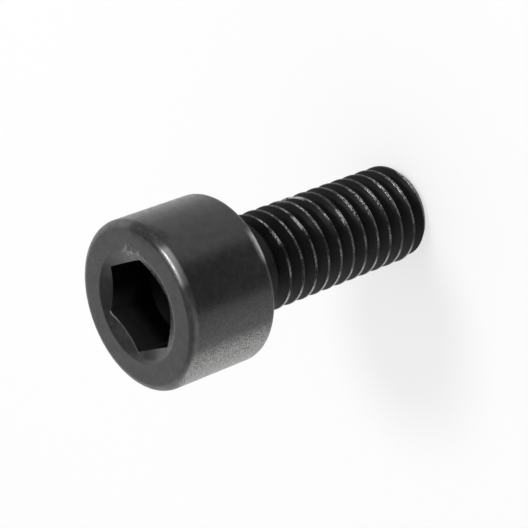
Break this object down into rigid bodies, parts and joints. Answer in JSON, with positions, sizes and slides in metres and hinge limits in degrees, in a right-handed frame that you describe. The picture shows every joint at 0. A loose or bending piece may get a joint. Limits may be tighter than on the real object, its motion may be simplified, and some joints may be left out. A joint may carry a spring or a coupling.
{
  "type": "hexagon socket head cap screw",
  "caption": "Short machine screw with a plain cylindrical head, a hexagon key socket with a wide lead-in, and a right-hand thread below a smooth neck.",
  "frame": {"origin": "centre of the bearing face, where the underside of the head meets the shank", "axes": "+Z along the screw's axis towards the head, +X towards one corner of the hexagon socket"},
  "size_m": [0.01, 0.01, 0.0202],
  "materials": {
    "black_steel": "black oxide on steel, satin, lightly scuffed"
  },
  "bodies": {
    "root": {"cap_screw": "black_steel"}
  },
  "joints": []
}
